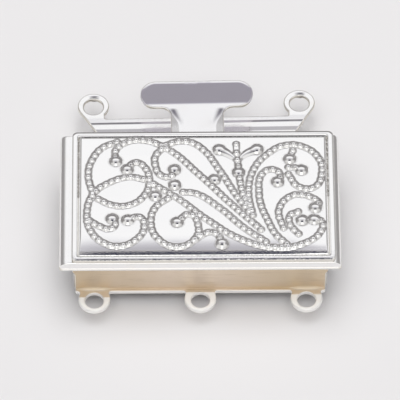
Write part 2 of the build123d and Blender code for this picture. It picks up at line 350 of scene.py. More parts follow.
def sheetPiece(name, outline, holes, face, sheet, material, rows, columns, extra=None):
    # A bent sheet of metal from its flat pattern. face(x, s) gives the good side, rows and columns place the
    # points inside the pattern, and every cut edge is rounded.
    thick, radius = sheet["thickness"], sheet["edgeRadius"]
    loops = []
    for points, turn in [(outline, 1)] + [(hole, -1) for hole in holes]:
        loop = splitLoop(points, rows, sheet["spacing"])
        ahead = np.roll(loop, -1, 0)
        area = np.sum(loop[:, 0] * ahead[:, 1] - ahead[:, 0] * loop[:, 1])
        loops.append(loop if area * turn > 0 else loop[::-1])
    quarter = np.linspace(0, pi / 2, sheet["turns"])
    profile = [(radius - radius * sin(a), radius - radius * cos(a), a) for a in quarter]
    profile += [(i, thick - d, pi - a) for i, d, a in reversed(profile) if thick - 2 * d > 1e-4]
    flat, depth, tilt, out, faces, rims, edges, top, under = [], [], [], [], [], [], [], [], []
    first = at = 0
    for loop in loops:
        along = unit(np.roll(loop, -1, 0) - loop) + unit(loop - np.roll(loop, 1, 0))
        mitre = 2 / np.linalg.norm(along, axis=1, keepdims=True)
        along = unit(along)
        away = np.column_stack((along[:, 1], -along[:, 0]))
        rims.append(loop - away * mitre * radius)
        count = len(loop)
        for inset, down, lean in profile:
            flat.append(loop - away * mitre * inset)
            out.append(away)
            depth.append(np.full(count, down))
            tilt.append(np.full(count, lean))
        faces += sweptFaces(count, len(profile), first)
        edges += [(at + i, at + (i + 1) % count) for i in range(count)]
        top += range(first, first + count)
        at, first = at + count, first + count * len(profile)
        under += range(first - count, first)
    allRims = np.vstack(rims)
    tree = KDTree(len(allRims))
    for i, p in enumerate(allRims):
        tree.insert((*p, 0), i)
    tree.balance()
    grid = np.array([(x, s) for s in rows for x in columns])
    grid = grid[inside(grid, rims)]
    grid = np.array([p for p in grid if tree.find((*p, 0))[2] > sheet["clear"]]).reshape(-1, 2)
    # the same triangles serve the good side and, turned over, the back
    spots = np.vstack((allRims, grid))
    _, _, triangles, source, _, _ = delaunay_2d_cdt([Vector(p) for p in spots], edges, [], 0, 1e-7)
    triangles = np.array([[source[v][0] for v in t] for t in triangles])
    triangles = triangles[inside(spots[triangles].mean(axis=1), rims)]
    more = len(grid)
    top = np.array(top + list(range(first, first + more)))
    under = np.array(under + list(range(first + more, first + 2 * more)))
    faces += top[triangles].tolist() + under[triangles[:, ::-1]].tolist()
    flat = np.vstack(flat + [grid, grid])
    out = np.vstack(out + [np.zeros((2 * more, 2))])
    depth = np.concatenate(depth + [np.zeros(more), np.full(more, thick)])
    tilt = np.concatenate(tilt + [np.zeros(more), np.full(more, pi)])
    place, normal, dx, ds = onFace(face, flat[:, 0], flat[:, 1])
    outward = dx * out[:, :1] + ds * out[:, 1:]
    normals = normal * np.cos(tilt)[:, None] + outward * np.sin(tilt)[:, None]
    attributes = {"edge": np.sin(tilt)}
    for key, rule in (extra or {}).items():
        attributes[key] = rule(flat[:, 0], flat[:, 1], depth)
    return newPiece(name, place - normal * depth[:, None], faces, material, normals, attributes)


def ramp(t, width):
    # 0 below, t above, with a bend of half-width `width` round 0
    return np.where(t < -width, 0.0, np.where(t > width, t, (t + width) ** 2 / (4 * width)))


def ease(t):
    t = np.clip(t, 0, 1)
    return t * t * (3 - 2 * t)


def boxMm(node):
    low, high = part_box(node)
    return np.array(low) / mm, np.array(high) / mm


def roundedRing(halfX, halfY, radius, height, across, along):
    # A level rounded rectangle with the same number of points whatever its radius. across and along are
    # shares of the long and short sides, from -1 to 1. Each side runs from corner middle to corner middle.
    loop = []
    for turn, half, reach, shares in ((-pi / 2, halfX, halfY, across), (0, halfY, halfX, along),
                                      (pi / 2, halfX, halfY, across), (pi, halfY, halfX, along)):
        straight = half - radius
        path = straight + radius * pi / 4
        p = np.abs(shares[:-1]) * path
        angle = np.where(p > straight, (p - straight) / max(radius, 1e-9), 0) * np.sign(shares[:-1])
        run = np.sign(shares[:-1]) * np.minimum(p, straight) + radius * np.sin(angle)
        deep = reach - radius * (1 - np.cos(angle))
        # outward is at angle turn, and the run goes a quarter turn on from it
        o, r = np.array([cos(turn), sin(turn)]), np.array([-sin(turn), cos(turn)])
        loop.append(deep[:, None] * o + run[:, None] * r)
    loop = np.vstack(loop)
    return np.column_stack((loop, np.full(len(loop), height)))


# Cover

cover = {
    "rimWidth": 0.6, "rimRise": 0.27, "groove": 0.1, "sheet": 0.25,
    "corner": 0.55, "rimInnerCorner": 0.22,
    "rimBevel": 23.0,  # degrees
    "innerBevel": 0.06, "outerBevel": 0.19,  # widths of the rim's sloping margins
    "pillowRise": 0.40, "shoulderRun": 0.30, "shoulderDrop": 0.45,
    # slope of the panel's front, by the distance from its edge
    "frontAt": (0.0, 0.45, 0.6, 1.2, 2.4), "frontSlope": (0.37, 0.27, 0.17, 0.11, 0.0),
    "leftEase": 0.3, "leftRun": 4.0,  # the front is less steep towards the left corner
    "rightEase": 1.0, "rightRun": 4.5,  # and narrower towards the right one
    "wave": 0.012,  # slow unevenness of the pressed sheet
    "cell": 0.07,  # side of one square of the panel's mesh
    "flatness": 2.3, "beadFoot": 0.6, "domeFoot": 0.74,
    "ridgeHalf": 0.34, "ridgeRise": 0.13,
    "beadPitch": 0.66, "beadRadius": 0.36, "beadRise": 0.27,
    "petalHalf": 0.60, "petalTaper": 0.17, "petalRise": 0.24,
    "domeRadius": 0.64, "domeRise": 0.28, "blend": 0.03,
}
coverLow, coverHigh = boxMm("cover_plate")
coverMiddle = (coverLow + coverHigh) / 2
coverHalf = (coverHigh - coverLow) / 2
panelHalf = coverHalf[:2] - cover["rimWidth"] - cover["groove"]
panelZ = coverLow[2] + cover["sheet"]

# Knots run from a strand's free end to its root, as shares of the panel's width from the left and of its
# depth from the front. A dome, where there is one, ends the strand.
strands = {
    "far left arch": (None, [(.153, .95), (.093, .90), (.053, .80), (.037, .68), (.055, .51)]),
    "long diagonal": ((.148, .785), [(.148, .88), (.195, .95), (.252, .965), (.351, .895), (.483, .67),
                                     (.60, .44), (.73, .20)]),
    "upper left leaf": ((.194, .715), [(.227, .775), (.266, .73), (.283, .61), (.26, .485), (.20, .41),
                                       (.13, .415), (.077, .465)]),
    "lower left sweep": ((.196, .285), [(.243, .31), (.262, .22), (.225, .115), (.165, .07), (.105, .092),
                                        (.05, .19), (.033, .36), (.061, .515), (.12, .60), (.206, .65),
                                        (.26, .63)]),
    "lower left hook": ((.134, .295), [(.146, .247), (.126, .212), (.085, .232), (.041, .285)]),
    "second diagonal": (None, [(.351, .92), (.394, .95), (.442, .95), (.491, .90), (.568, .70), (.633, .49),
                               (.698, .32)]),
    "upper hook": ((.385, .71), [(.369, .655), (.329, .665), (.308, .745), (.308, .828), (.333, .887)]),
    "low diagonal": ((.943, .28), [(.972, .265), (.965, .17), (.905, .085), (.783, .055), (.649, .12),
                                   (.515, .285), (.402, .46), (.30, .59)]),
    "middle diagonal": (None, [(.418, .52), (.467, .508), (.568, .38), (.657, .223), (.749, .098)]),
    "middle curl": ((.394, .265), [(.445, .332), (.479, .23), (.463, .12), (.393, .062), (.316, .13),
                                   (.289, .272), (.308, .392), (.359, .468)]),
    "curl's tail": ((.573, .084), [(.558, .153), (.531, .18), (.499, .162), (.467, .12)]),
    "bloom's tip": (None, [(.635, .925), (.636, .85)]),
    "bloom's neck": (None, [(.639, .79), (.642, .74), (.643, .683)]),
    "bloom's stem": ((.643, .683), [(.657, .525), (.673, .42)]),
    "upper right arch": (None, [(.844, .665), (.885, .56), (.947, .555), (.978, .67), (.968, .80),
                                (.905, .902), (.832, .915), (.76, .84), (.706, .718), (.682, .525),
                                (.698, .32)]),
    "upper right drop": ((.897, .702), [(.87, .722), (.844, .725)]),
    "upper right pendant": ((.85, .797), [(.858, .84), (.864, .87)]),
    "inner right arch": ((.80, .602), [(.811, .665), (.782, .708), (.749, .692), (.728, .632), (.724, .525),
                                       (.73, .418), (.757, .28), (.79, .156), (.832, .078)]),
    "lower right arch": ((.949, .38), [(.964, .415), (.937, .466), (.897, .492), (.856, .485), (.803, .366),
                                       (.82, .212)]),
    "lower right inner curl": (None, [(.88, .348), (.848, .318), (.844, .254), (.86, .202), (.88, .16)]),
}
# the bloom's petals are smooth, and taper from the dome to the bloom's heart
petals = [[(.566, .88), (.605, .84), (.637, .79)], [(.719, .88), (.675, .845), (.641, .79)]]
looseDomes = [(.385, .58), (.307, .488), (.546, .625), (.895, .275)]


def onPanel(share):
    return (coverMiddle[0] + (2 * share[0] - 1) * panelHalf[0], (2 * share[1] - 1) * panelHalf[1], 0)


def frontDrop(off):
    # how far the panel has fallen below its level part, at a distance from its front edge
    at, slope = cover["frontAt"], cover["frontSlope"]
    fine = np.linspace(0, at[-1], 200)
    fall = np.cumsum(np.interp(fine, at, slope)) * (fine[1] - fine[0])
    return fall[-1] - np.interp(off, fine, fall)


def pillow(x, y):
    # height of the panel before its relief: level, rolled down to the front, with a tight shoulder elsewhere
    left = np.clip(1 - (x - coverMiddle[0] + panelHalf[0]) / cover["leftRun"], 0, 1) ** 2
    right = ease(1 - (coverMiddle[0] + panelHalf[0] - x) / cover["rightRun"])
    tighter = 1 + right * cover["rightEase"]
    front = frontDrop((y + panelHalf[1]) * tighter) / tighter * (1 - left * cover["leftEase"])
    nearest = np.minimum.reduce([panelHalf[0] - np.abs(x - coverMiddle[0]), panelHalf[1] - y])
    shoulder = 1 - np.sqrt(np.clip(1 - np.clip(1 - nearest / cover["shoulderRun"], 0, 1) ** 2, 0, 1))
    inner = np.clip(nearest / 2.5, 0, 1) * np.clip((y + panelHalf[1]) / 2.5, 0, 1)
    wave = cover["wave"] * inner * (np.sin(0.9 * x + 0.5 * y + 1) + np.sin(1.3 * y - 0.45 * x + 2) - 2)
    return panelZ + cover["pillowRise"] - np.maximum(front, cover["shoulderDrop"] * shoulder) + wave / 2


def rimProfile():
    # (distance out from the panel's edge, height, corner radius, edge mark)
    c = cover
    inner, outer = c["groove"], c["groove"] + c["rimWidth"]
    top, foot = panelZ + c["rimRise"], coverLow[2]
    bevel = tan(radians(c["rimBevel"]))
    rise = top - panelZ - c["innerBevel"] * bevel
    # the edge mark paints shade into the groove beside the panel
    rows = [(inner * 0.3, panelZ - 0.01, 0.04, 1), (inner * 0.5, panelZ - 0.01, 0.06, 1),
            (inner * 0.5 + c["innerBevel"], top - rise, 0.1, 0.3)]
    start = inner * 0.5 + c["innerBevel"] + 0.01
    for a in np.linspace(0.15, 1, 7) * pi / 2:
        rows.append((start + 0.14 * (1 - cos(a)), top - rise * (1 - sin(a)), c["rimInnerCorner"], 0))
    rows.append((outer - c["outerBevel"] - 0.03, top, c["corner"] * 0.7, 0))
    rows.append((outer - c["outerBevel"] / 2, top - c["outerBevel"] * bevel * 0.35, c["corner"] * 0.8, 0))
    low = top - (c["outerBevel"] - 0.04) * bevel
    # down the outer wall the edge mark paints shade where the cover meets the case, and at the foot gives the
    # cut tone of the sheet's edge
    for a in np.linspace(0, 1, 5) * pi / 2:
        rows.append((outer - 0.04 * (1 - sin(a)), low - 0.04 * (1 - cos(a)), c["corner"] * 0.9,
                     0.3 + 0.5 * sin(a)))
    rows.append((outer, foot + 0.2, c["corner"], 0.7))
    rows.append((outer - 0.02, foot + 0.07, c["corner"], 1))
    rows.append((outer - 0.06, foot, c["corner"] - 0.04, 1))
    return rows


def coverBase():
    cells = np.round(2 * panelHalf / cover["cell"]).astype(int)
    across, along = (np.linspace(-1, 1, n + 1) for n in cells)
    nx, ny = len(across), len(along)
    gx, gy = np.meshgrid(coverMiddle[0] + across * panelHalf[0], along * panelHalf[1])
    points = np.column_stack((gx.ravel(), gy.ravel(), pillow(gx, gy).ravel()))
    faces = [(k, k + 1, k + nx + 1, k + nx) for k in range(nx * (ny - 1)) if (k + 1) % nx]
    # the grid's own edge, in the order that roundedRing goes round
    border = [*range(nx - 1), *range(nx - 1, nx * ny - 1, nx),
              *range(nx * ny - 1, nx * (ny - 1), -1), *range(nx * (ny - 1), 0, -nx)]
    rings, edge = [], [np.zeros(len(points))]
    for off, height, radius, mark in rimProfile():
        ring = roundedRing(panelHalf[0] + off, panelHalf[1] + off, radius, height, across, along)
        rings.append(ring + (coverMiddle[0], 0, 0))
        edge.append(np.full(len(ring), float(mark)))
    first, count = len(points), len(border)
    faces += [(border[i], first + i, first + (i + 1) % count, border[(i + 1) % count]) for i in range(count)]
    faces += sweptFaces(count, len(rings), first)
    points = np.vstack([points] + rings)
    faces.append(tuple(range(len(points) - 1, len(points) - count - 1, -1)))
    panel, hollow = np.zeros(len(points)), np.zeros(len(points))
    panel[:nx * ny] = 1
    panel[border] = 0
    # painted shade along the panel's back edge and the rim's groove behind it
    off = np.minimum(panelHalf[0] - np.abs(gx - coverMiddle[0]), panelHalf[1] - np.abs(gy)).ravel()
    hollow[:nx * ny] = np.clip(1 - off / 0.1, 0, 1) * (gy.ravel() > 0)
    hollow[first:first + 2 * count] = points[first:first + 2 * count, 1] > 0
    return newPiece("cover_relief", points, faces, polishedPlate,
                    attributes={"edge": np.concatenate(edge), "panel": panel, "hollow": hollow})


def curveObject(name, lines):
    data = bpy.data.curves.new(name, "CURVE")
    data.dimensions, data.resolution_u = "3D", 14
    for knots in lines:
        spline = data.splines.new("BEZIER")
        spline.bezier_points.add(len(knots) - 1)
        for point, knot in zip(spline.bezier_points, knots):
            point.co = Vector(onPanel(knot)) * mm
            point.handle_left_type = point.handle_right_type = "AUTO"
    return addObject(name, data)


def domePoints():
    shares = [dome for dome, _ in strands.values() if dome] + [petal[0] for petal in petals] + looseDomes
    return newPiece("domes", [onPanel(share) for share in shares], [], polishedPlate)


# the tree's inputs that are sizes, and those that are shares or powers
reliefSizes = ["Ridge Half", "Ridge Rise", "Bead Pitch", "Bead Radius", "Bead Rise", "Dome Radius",
               "Dome Rise", "Petal Half", "Petal Rise", "Blend"]
reliefShares = ["Petal Taper", "Flatness", "Bead Foot", "Dome Foot"]


def reliefTree():
    # raises a beaded ridge along every strand and a dome on every point, and marks the foot of the relief
    group = bpy.data.node_groups.new("stampedRelief", "GeometryNodeTree")
    wanted = {"Geometry": "Geometry", "Strands": "Object", "Domes": "Object", "Petals": "Object",
              "Material": "Material", **{name: "Float" for name in reliefSizes + reliefShares}}
    newSocket = group.interface.new_socket
    sockets = {name: newSocket(name, in_out="INPUT", socket_type="NodeSocket" + kind).identifier
               for name, kind in wanted.items()}
    newSocket("Geometry", in_out="OUTPUT", socket_type="NodeSocketGeometry")
    t = Tree(group)
    given = t.add("NodeGroupInput")
    ask = given.other
    x = t.split(t.add("GeometryNodeInputPosition"))
    level = t.add("ShaderNodeCombineXYZ", {}, {"X": x, "Y": x.other("Y"), "Z": 0.0})

    def shape(name):
        return t.add("GeometryNodeObjectInfo", {}, {"Object": ask(name)}, "Geometry")

    def distance(target, elements):
        return t.add("GeometryNodeProximity", {"target_element": elements},
                     {"Geometry": target, "Sample Position": level}, "Distance")

    def wireDistance(curve, elements="EDGES"):
        return distance(t.add("GeometryNodeCurveToMesh", {}, {"Curve": curve}), elements)

    def swelling(distance, radius, foot):
        # 1 in the middle, nearly level on top, and the steeper at the foot the smaller foot is
        share = (distance / t.maths("MAXIMUM", radius, 0.01 * mm)).atMost(1.0)
        return (1 - share ** ask("Flatness")) ** ask(foot)

    lines = shape("Strands")
    spaced = t.add("GeometryNodeResampleCurve", {"mode": "LENGTH"},
                   {"Curve": lines, "Length": ask("Bead Pitch")})
    toLine, toBead = wireDistance(lines), wireDistance(spaced, "POINTS")
    toDome = distance(shape("Domes"), "POINTS")
    raised = swelling(toLine, ask("Ridge Half"), "Bead Foot") * ask("Ridge Rise")
    bead = swelling(toBead, ask("Bead Radius"), "Bead Foot") * ask("Bead Rise")
    dome = swelling(toDome, ask("Dome Radius"), "Dome Foot") * ask("Dome Rise")
    petalHalf = ask("Petal Half") - toDome * ask("Petal Taper")
    petal = swelling(wireDistance(shape("Petals")), petalHalf, "Dome Foot")
    petal = petal * (ask("Petal Rise") - toDome * 0.05)
    for form in (bead, petal, dome):
        raised = t.maths("SMOOTH_MAX", raised, form, ask("Blend"))
    panel = t.add("GeometryNodeInputNamedAttribute", {"data_type": "FLOAT"}, {"Name": "panel"}, "Attribute")
    up = t.add("ShaderNodeCombineXYZ", {}, {"Z": raised * panel})
    stamped = t.add("GeometryNodeSetPosition", {}, {"Geometry": given, "Offset": up})
    fromRidge = t.maths("ABSOLUTE", toLine / ask("Ridge Half") - 1.0)
    fromDome = t.maths("ABSOLUTE", toDome / ask("Dome Radius") - 1.0)
    foot = (1 - fromRidge.atMost(fromDome) * 2.6).atLeast(0.0) * panel
    stamped = t.add("GeometryNodeStoreNamedAttribute", {"data_type": "FLOAT", "domain": "POINT"},
                    {"Geometry": stamped, "Name": "foot", "Value": foot})
    whole = t.add("GeometryNodeRealizeInstances", {}, {"Geometry": stamped})
    whole = t.add("GeometryNodeSetMaterial", {}, {"Geometry": whole, "Material": ask("Material")})
    t.add("NodeGroupOutput", {}, {0: whole})
    return group, sockets


def bakeNodes(piece, group, values):
    # runs a Geometry Nodes tree on a piece and keeps the result as its plain mesh
    modifier = piece.modifiers.new(group.name, "NODES")
    modifier.node_group = group
    for socket, value in values.items():
        modifier[socket] = value
    mesh = bpy.data.meshes.new_from_object(piece.evaluated_get(bpy.context.evaluated_depsgraph_get()))
    piece.modifiers.remove(modifier)
    piece.data = mesh
    mesh.name = piece.name


def buildCover():
    piece = coverBase()
    lines = [([dome] if dome else []) + knots for dome, knots in strands.values()]
    shapes = {"Strands": curveObject("strands", lines), "Petals": curveObject("petals", petals),
              "Domes": domePoints()}
    group, sockets = reliefTree()
    values = {**shapes, "Material": polishedPlate}
    for name in reliefSizes + reliefShares:
        key = name[0].lower() + name[1:].replace(" ", "")  # "Bead Rise" is beadRise in the dictionary
        values[name] = cover[key] * (mm if name in reliefSizes else 1)
    bakeNodes(piece, group, {sockets[name]: value for name, value in values.items()})
    for helper in shapes.values():
        bpy.data.objects.remove(helper)
    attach(piece, "case")
    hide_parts("cover_plate")
    print("cover stamped:", len(piece.data.polygons), "faces")


buildCover()


# Case

case = {
    "edgeDrop": 1.0, "sideRoll": 1.15, "endRoll": 0.34, "rollDrop": 0.6, "corner": 0.3,
    "flare": 0.12, "sideFlare": 0.25, "flareRise": 0.2, "lip": 0.12,
    "overhang": 1.4, "wallBend": 0.7, "seam": 0.05, "webBack": 7.3,
    "mouthWidth": 20.2, "mouthTop": 2.75, "notchWidth": 6.15, "mouthCorner": 0.25,
    "thickness": 0.4, "edgeRadius": 0.1, "turns": 4, "spacing": 0.5, "clear": 0.12,
}
caseLow, caseHigh = boxMm("case_shell")
caseHalf = (caseHigh - caseLow) / 2
wallBack = caseHigh[1] - case["thickness"]
wallCorner = caseHalf[0] - case["overhang"] - case["wallBend"]  # where a side wall's bend starts
wallQuarter = case["wallBend"] * pi / 2
wallRun = wallBack - case["wallBend"] + case["webBack"] - case["seam"]  # straight run of a side wall


def caseTopRings():
    # (inset at the sides, inset at front and back, height, edge mark)
    c, top, inner, lip = case, caseHigh[2], case["thickness"], case["lip"]
    bottom, flare, sideFlare = top - c["edgeDrop"], c["flare"], c["flare"] * c["sideFlare"]
    rows = [(2.4, 2.2, top, 0), (c["sideRoll"] + 0.3, c["endRoll"] + 0.3, top, 0)]
    for a in np.linspace(0, 1, 15) * pi / 2:  # rolls over into the skirt
        rows.append((sideFlare + (c["sideRoll"] - sideFlare) * (1 - sin(a)),
                     flare + (c["endRoll"] - flare) * (1 - sin(a)), top - c["rollDrop"] * (1 - cos(a)), 0))
    for share in (0.0, 0.08, 0.35, 0.75, 1.0):  # the skirt's lower edge is turned out a little
        rows.append((sideFlare * (1 - share), flare * (1 - share),
                     bottom + lip * 1.2 + c["flareRise"] * (1 - share) ** 0.7, 0.8))
    for a in np.linspace(0, 1, 6)[1:] * pi:
        inset = lip * (1 - cos(a))
        rows.append((inset, inset, bottom + lip * (1 - sin(a)), sin(a)))
    return rows + [(inner, inner, top - c["rollDrop"] - 0.1, 0), (inner + 0.5, inner, top - inner - 0.1, 0),
                   (inner + 0.9, inner + 0.1, top - inner, 0), (2.4, 2.2, top - inner, 0)]


def buildCaseTop():
    across, along = (np.sin(np.linspace(-1, 1, count) * pi / 2) for count in (41, 27))
    rings, edge = [], []
    for insetX, insetY, height, mark in caseTopRings():
        radius = max(case["corner"] - min(insetX, insetY), 0.04)
        ring = roundedRing(caseHalf[0] - insetX, caseHalf[1] - insetY, radius, height, across, along)
        rings.append(ring)
        # painted shade: the cut edge and the margin over it are coloured duller at the sides than in front
        edge.append(np.where(np.abs(ring[:, 0]) > caseHalf[0] - 0.25, mark, mark * 0.3))
    points, count = np.vstack(rings), len(ring)
    faces = sweptFaces(count, len(rings))
    faces += [tuple(range(count)), tuple(range(len(points) - 1, len(points) - count - 1, -1))]
    return newPiece("top", points, faces, brightPlate, None, {"edge": np.concatenate(edge)})


def joined(name, parts):
    # one piece from several
    bpy.ops.object.select_all(action="DESELECT")
    for part in parts:
        part.select_set(True)
    bpy.context.view_layer.objects.active = parts[0]
    bpy.ops.object.join()
    parts[0].name = parts[0].data.name = name
    return parts[0]


def wallFace(z, s):
    # the outside of the two side walls and the back wall, as one strip from front left to front right
    bend, u = case["wallBend"], np.abs(s)
    angle = np.clip((u - wallCorner) / bend, 0, pi / 2)
    run = np.clip(u - wallCorner - wallQuarter, 0, wallRun + 1)
    x = np.minimum(u, wallCorner) + bend * np.sin(angle)
    return np.column_stack((np.sign(s) * x, wallBack - bend * (1 - np.cos(angle)) - run, z + 0 * s))


def buildWalls():
    c = case
    reach = wallCorner + wallQuarter + wallRun
    top = caseHigh[2] - c["thickness"] + c["seam"]
    m, n = c["mouthWidth"] / 2, c["notchWidth"] / 2
    # one half of the pattern, as (height, distance along the strip)
    outline = filleted([(0, m, 0.14), (0, reach, 0.15), (top, reach, 0.15), (top, n, 0.15),
                        (c["mouthTop"], n, 0.15), (c["mouthTop"], m, c["mouthCorner"])])
    bends = np.linspace(wallCorner, wallCorner + wallQuarter, 9)
    rows = places(np.arange(-reach, reach, 0.8), bends, -bends)
    return [sheetPiece("wall", [(z, side * s) for z, s in outline], [], wallFace, c, brightPlate, rows,
                       np.arange(0.3, top, 0.6)) for side in (-1, 1)]


def buildCase():
    piece = joined("case_body", [buildCaseTop()] + buildWalls())
    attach(piece, "case")
    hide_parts("case_shell")
    print("case made")


buildCase()


# Back plate

backPlate = {"corner": 0.3, "farCorner": 0.6, "edgeRadius": 0.1, "turns": 4, "spacing": 1.0, "clear": 0.4}


def buildBackPlate():
    (left, near, under), (right, far, top) = boxMm("back_plate")
    corner, farCorner = backPlate["corner"], backPlate["farCorner"]
    outline = filleted([(left, near, corner), (right, near, corner),
                        (right, far, farCorner), (left, far, farCorner)])

    def face(x, s):
        return np.column_stack((x, s, np.full(len(x), top)))

    piece = sheetPiece("back_sheet", outline, [], face, {**backPlate, "thickness": top - under}, brightPlate,
                       np.arange(near + 1, far, 2.0), np.arange(left + 1, right, 2.0))
    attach(piece, "case")
    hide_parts("back_plate")


buildBackPlate()


# Front web with its lip and three rings, one sheet

web = {
    "front": 7.8, "lipEdge": 8.12, "halfWidth": 12.45, "earWidth": 12.7, "earFrom": 3.15, "top": 4.55,
    "foot": 0.05, "neckFoot": 0.40, "neckReach": 1.35, "neck": 0.25,
    "ringX": 10.55, "ringY": -9.0, "ringDiameter": 3.15, "holeDiameter": 1.86, "holeShift": 0.25,
    "tanEnds": (-8.86, -8.3, -8.62),  # how far out the tan reaches on the left, middle and right ring
    "tanEdge": -8.2, "levelTan": 0.75,  # and between them, and its share on the level part
    "thickness": 0.5, "edgeRadius": 0.13, "turns": 6, "spacing": 0.3, "clear": 0.06,
}


def ringGap(x):
    # distance to the nearest ring's middle
    return np.minimum(np.abs(x), np.abs(np.abs(x) - web["ringX"]))


def webFoot(x):
    # the bend is wide at the outer rings' necks and tight elsewhere
    near = np.abs(np.abs(x) - web["ringX"])
    return web["foot"] + (web["neckFoot"] - web["foot"]) * (1 - ease((near - 0.7) / web["neckReach"]))


def webFace(x, s):
    # s is y on the level part, and goes on up the web
    r = webFoot(x)
    start = -web["front"] - r
    angle = np.clip((s - start) / r, 0, pi / 2)
    up = np.clip(s - start - r * pi / 2, 0, None)
    # the pattern is let in a little over a wide bend, so that the top edge stays straight
    tall = web["top"] - web["thickness"]
    up = up * (tall - r) / (tall - r + (r - web["foot"]) * (2 - pi / 2))
    return np.column_stack((x, np.minimum(s, start) + r * np.sin(angle),
                            web["thickness"] + r * (1 - np.cos(angle)) + up))


def webTan(x, s, depth):
    left, middle, right = web["tanEnds"]
    end = np.where(x < -5, left, np.where(x > 5, right, middle))
    end = np.where(ringGap(x) > web["ringDiameter"] / 2 + 0.15, web["tanEdge"], end)
    level = np.where(s < -web["front"] - 0.15, web["levelTan"], 1.0)  # it already mirrors the tan of the web
    return level * ease((s - end) / 0.08 + 0.5) * (depth < web["thickness"] * 0.6)


def webNeck(x, s, depth):
    # painted shade: deeper tan on the middle ring's neck, less on the outer necks, and along the crease at
    # the web's foot
    shade = np.where(np.abs(x) < 3, 1.0, 0.3)
    foot = 0.3 * np.exp(-((s + web["front"] + 0.03) / 0.13) ** 2)
    return np.maximum(shade * ease((1.75 - ringGap(x)) / 0.6) * ease((-7.70 - s) / 0.3), foot)


def buildEndStrip():
    w, lip = web, -web["lipEdge"]
    rings = [(i * w["ringX"], w["ringY"]) for i in (-1, 0, 1)]
    foot = -w["front"] - w["foot"]
    climb = foot + w["foot"] * pi / 2 - w["thickness"] - w["foot"]  # add a height to get the pattern's s
    ear, top, half, wide = climb + w["earFrom"], climb + w["top"], w["halfWidth"], w["earWidth"]
    left = [(-wide, top, 0.24), (-wide, ear, 0.22), (-half, ear - 0.35, 0.3), (-half, lip, 0.18)]
    corners = filleted(left + [(-x, s, r) for x, s, r in reversed(left)])
    # the rings go into the long run to the right, which is the lip's edge
    at = next(i for i, (a, b) in enumerate(zip(corners, corners[1:])) if b[0] - a[0] > 5) + 1
    lobes = [point for ring in rings for point in ringLobe(ring, w["ringDiameter"] / 2, lip, w["neck"])]
    holes = ringHoles([(x, y - w["holeShift"]) for x, y in rings], w["holeDiameter"])
    rows = places(np.arange(w["ringY"] - 1.5, lip - 0.7, 0.2), np.arange(lip - 0.7, ear - 2, 0.1),
                  np.linspace(foot - 0.01, foot + 0.2, 8), np.arange(ear - 2, top, 0.4))
    columns = places(np.arange(-wide, wide, 0.2), *[np.arange(x - 2.2, x + 2.3, 0.22) for x, _ in rings])
    piece = sheetPiece("ring_web", corners[:at] + lobes + corners[at:], holes, webFace, w, warmStrip,
                       rows, columns, {"warm": webTan, "neck": webNeck})
    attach(piece, "case")
    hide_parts("end_strip")
    print("web and front rings made")


buildEndStrip()


# Tongue: half-round fold, level leaf, two small steps up and a strip with three rings, one sheet

tongue = {
    "yaw": 0.9, "leafZ": 0.5, "leafHalf": 9.7, "foldY": -5.95, "foldRadius": 0.8,
    "flareFrom": 10.9, "edge": 13.47, "edgeHalf": 11.3, "neckHalf": 1.15, "neckFillet": 0.12,
    "steps": ((11.70, 12.14, 0.075), (12.74, 12.97, 0.061), (13.05, 13.5, 0.03)), "stepSoft": 0.04,
    "ringX": 10.5, "ringY": 15.17, "ringDiameter": 3.2, "holeDiameter": 1.95, "holeShift": -0.15,
    "dent": 0.055, "dentAt": (0.1, 1.06), "dentSize": (0.42, 0.11),  # a nick in the far side of each ring
    "thickness": 0.4, "edgeRadius": 0.15, "turns": 5, "spacing": 0.4, "clear": 0.05,
}


def yawed(points):
    a = radians(tongue["yaw"])
    x, y = points[:, 0].copy(), points[:, 1].copy()
    points[:, 0], points[:, 1] = x * cos(a) - y * sin(a), x * sin(a) + y * cos(a)
    return points


def tongueFace(x, s):
    # s is y on the level part, and goes back round the inside of the fold before it
    t = tongue
    r = t["foldRadius"] - t["thickness"]
    angle = np.clip((t["foldY"] - s) / r, 0, pi)
    z = t["leafZ"] + t["thickness"] + r * (1 - np.cos(angle))
    for start, end, rise in t["steps"]:
        slope = rise / (end - start)
        z = z + slope * (ramp(s - start, t["stepSoft"]) - ramp(s - end, t["stepSoft"]))
    offS = (s - t["ringY"] - t["dentAt"][1]) / t["dentSize"][1]
    for i in (-1, 0, 1):
        offX = (x - i * t["ringX"] - t["dentAt"][0]) / t["dentSize"][0]
        z = z - t["dent"] * np.exp(-offX ** 2 - offS ** 2)
    y = np.maximum(s, t["foldY"]) - r * np.sin(angle)
    return yawed(np.column_stack((x, y, z)))


